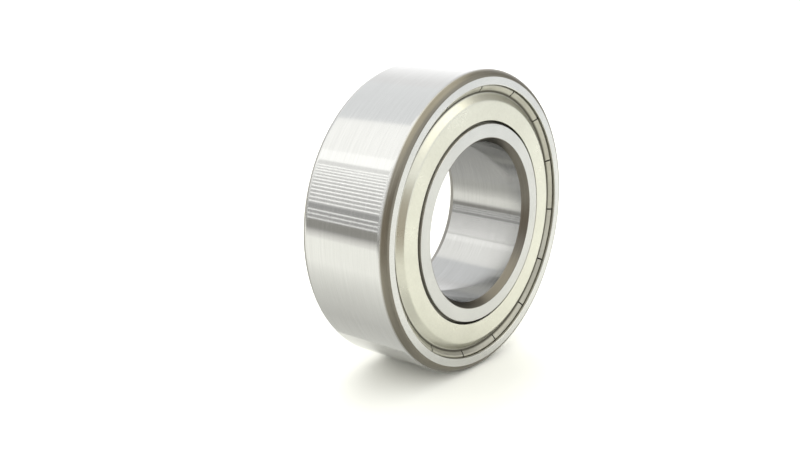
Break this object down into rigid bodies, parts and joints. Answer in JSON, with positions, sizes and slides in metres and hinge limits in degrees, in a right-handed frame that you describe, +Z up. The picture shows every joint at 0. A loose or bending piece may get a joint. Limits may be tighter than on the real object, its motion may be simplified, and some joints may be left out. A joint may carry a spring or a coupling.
{
  "type": "ball bearing",
  "caption": "Single-row deep-groove ball bearing with a sheet-steel shield on each side, standing on its outside diameter.",
  "frame": {"origin": "centre of the bearing: on its axis, at the middle of its width", "axes": "+Y along the bearing's axis, from the front shield towards the back shield; +Z up, with the bearing standing on its outside diameter; +X to the right seen from the front"},
  "size_m": [0.047, 0.016, 0.047],
  "materials": {
    "ring_steel": "hardened bearing steel, ground, with fine grinding marks",
    "shield_steel": "pressed sheet steel, satin, slightly warm tint",
    "cage_steel": "pressed low-carbon steel, tumbled",
    "rivet_steel": "drawn steel wire, headed",
    "ball_steel": "lapped bearing steel, mirror polished"
  },
  "bodies": {
    "outer_assembly": {"outer_ring": "ring_steel", "shield_front": "shield_steel", "shield_back": "shield_steel"},
    "inner_race": {"inner_ring": "ring_steel"},
    "cage_assembly": {"cage_front": "cage_steel", "cage_back": "cage_steel", "rivet_01": "rivet_steel", "rivet_02": "rivet_steel", "rivet_03": "rivet_steel", "rivet_04": "rivet_steel", "rivet_05": "rivet_steel", "rivet_06": "rivet_steel", "rivet_07": "rivet_steel", "rivet_08": "rivet_steel", "rivet_09": "rivet_steel", "rivet_10": "rivet_steel"},
    "ball_01_body": {"ball_01": "ball_steel"},
    "ball_02_body": {"ball_02": "ball_steel"},
    "ball_03_body": {"ball_03": "ball_steel"},
    "ball_04_body": {"ball_04": "ball_steel"},
    "ball_05_body": {"ball_05": "ball_steel"},
    "ball_06_body": {"ball_06": "ball_steel"},
    "ball_07_body": {"ball_07": "ball_steel"},
    "ball_08_body": {"ball_08": "ball_steel"},
    "ball_09_body": {"ball_09": "ball_steel"},
    "ball_10_body": {"ball_10": "ball_steel"}
  },
  "joints": [
    {"name": "inner_spin", "type": "hinge", "parent": "outer_assembly", "child": "inner_race", "pos_m": [0, 0, 0], "axis": [0, 1, 0], "continuous": true},
    {"name": "cage_orbit", "type": "hinge", "parent": "outer_assembly", "child": "cage_assembly", "pos_m": [0, 0, 0], "axis": [0, 1, 0], "continuous": true},
    {"name": "ball_01_roll", "type": "hinge", "parent": "cage_assembly", "child": "ball_01_body", "pos_m": [0, 0, 0.018], "axis": [0, 1, 0], "continuous": true},
    {"name": "ball_02_roll", "type": "hinge", "parent": "cage_assembly", "child": "ball_02_body", "pos_m": [-0.01058, 0, 0.01456], "axis": [0, 1, 0], "continuous": true},
    {"name": "ball_03_roll", "type": "hinge", "parent": "cage_assembly", "child": "ball_03_body", "pos_m": [-0.01712, 0, 0.00556], "axis": [0, 1, 0], "continuous": true},
    {"name": "ball_04_roll", "type": "hinge", "parent": "cage_assembly", "child": "ball_04_body", "pos_m": [-0.01712, 0, -0.00556], "axis": [0, 1, 0], "continuous": true},
    {"name": "ball_05_roll", "type": "hinge", "parent": "cage_assembly", "child": "ball_05_body", "pos_m": [-0.01058, 0, -0.01456], "axis": [0, 1, 0], "continuous": true},
    {"name": "ball_06_roll", "type": "hinge", "parent": "cage_assembly", "child": "ball_06_body", "pos_m": [0, 0, -0.018], "axis": [0, 1, 0], "continuous": true},
    {"name": "ball_07_roll", "type": "hinge", "parent": "cage_assembly", "child": "ball_07_body", "pos_m": [0.01058, 0, -0.01456], "axis": [0, 1, 0], "continuous": true},
    {"name": "ball_08_roll", "type": "hinge", "parent": "cage_assembly", "child": "ball_08_body", "pos_m": [0.01712, 0, -0.00556], "axis": [0, 1, 0], "continuous": true},
    {"name": "ball_09_roll", "type": "hinge", "parent": "cage_assembly", "child": "ball_09_body", "pos_m": [0.01712, 0, 0.00556], "axis": [0, 1, 0], "continuous": true},
    {"name": "ball_10_roll", "type": "hinge", "parent": "cage_assembly", "child": "ball_10_body", "pos_m": [0.01058, 0, 0.01456], "axis": [0, 1, 0], "continuous": true}
  ],
  "couplings": [
    {"joint": "cage_orbit", "follows": "inner_spin", "ratio": 0.40629},
    {"joint": "ball_01_roll", "follows": "inner_spin", "ratio": -2.5741},
    {"joint": "ball_02_roll", "follows": "inner_spin", "ratio": -2.5741},
    {"joint": "ball_03_roll", "follows": "inner_spin", "ratio": -2.5741},
    {"joint": "ball_04_roll", "follows": "inner_spin", "ratio": -2.5741},
    {"joint": "ball_05_roll", "follows": "inner_spin", "ratio": -2.5741},
    {"joint": "ball_06_roll", "follows": "inner_spin", "ratio": -2.5741},
    {"joint": "ball_07_roll", "follows": "inner_spin", "ratio": -2.5741},
    {"joint": "ball_08_roll", "follows": "inner_spin", "ratio": -2.5741},
    {"joint": "ball_09_roll", "follows": "inner_spin", "ratio": -2.5741},
    {"joint": "ball_10_roll", "follows": "inner_spin", "ratio": -2.5741}
  ]
}
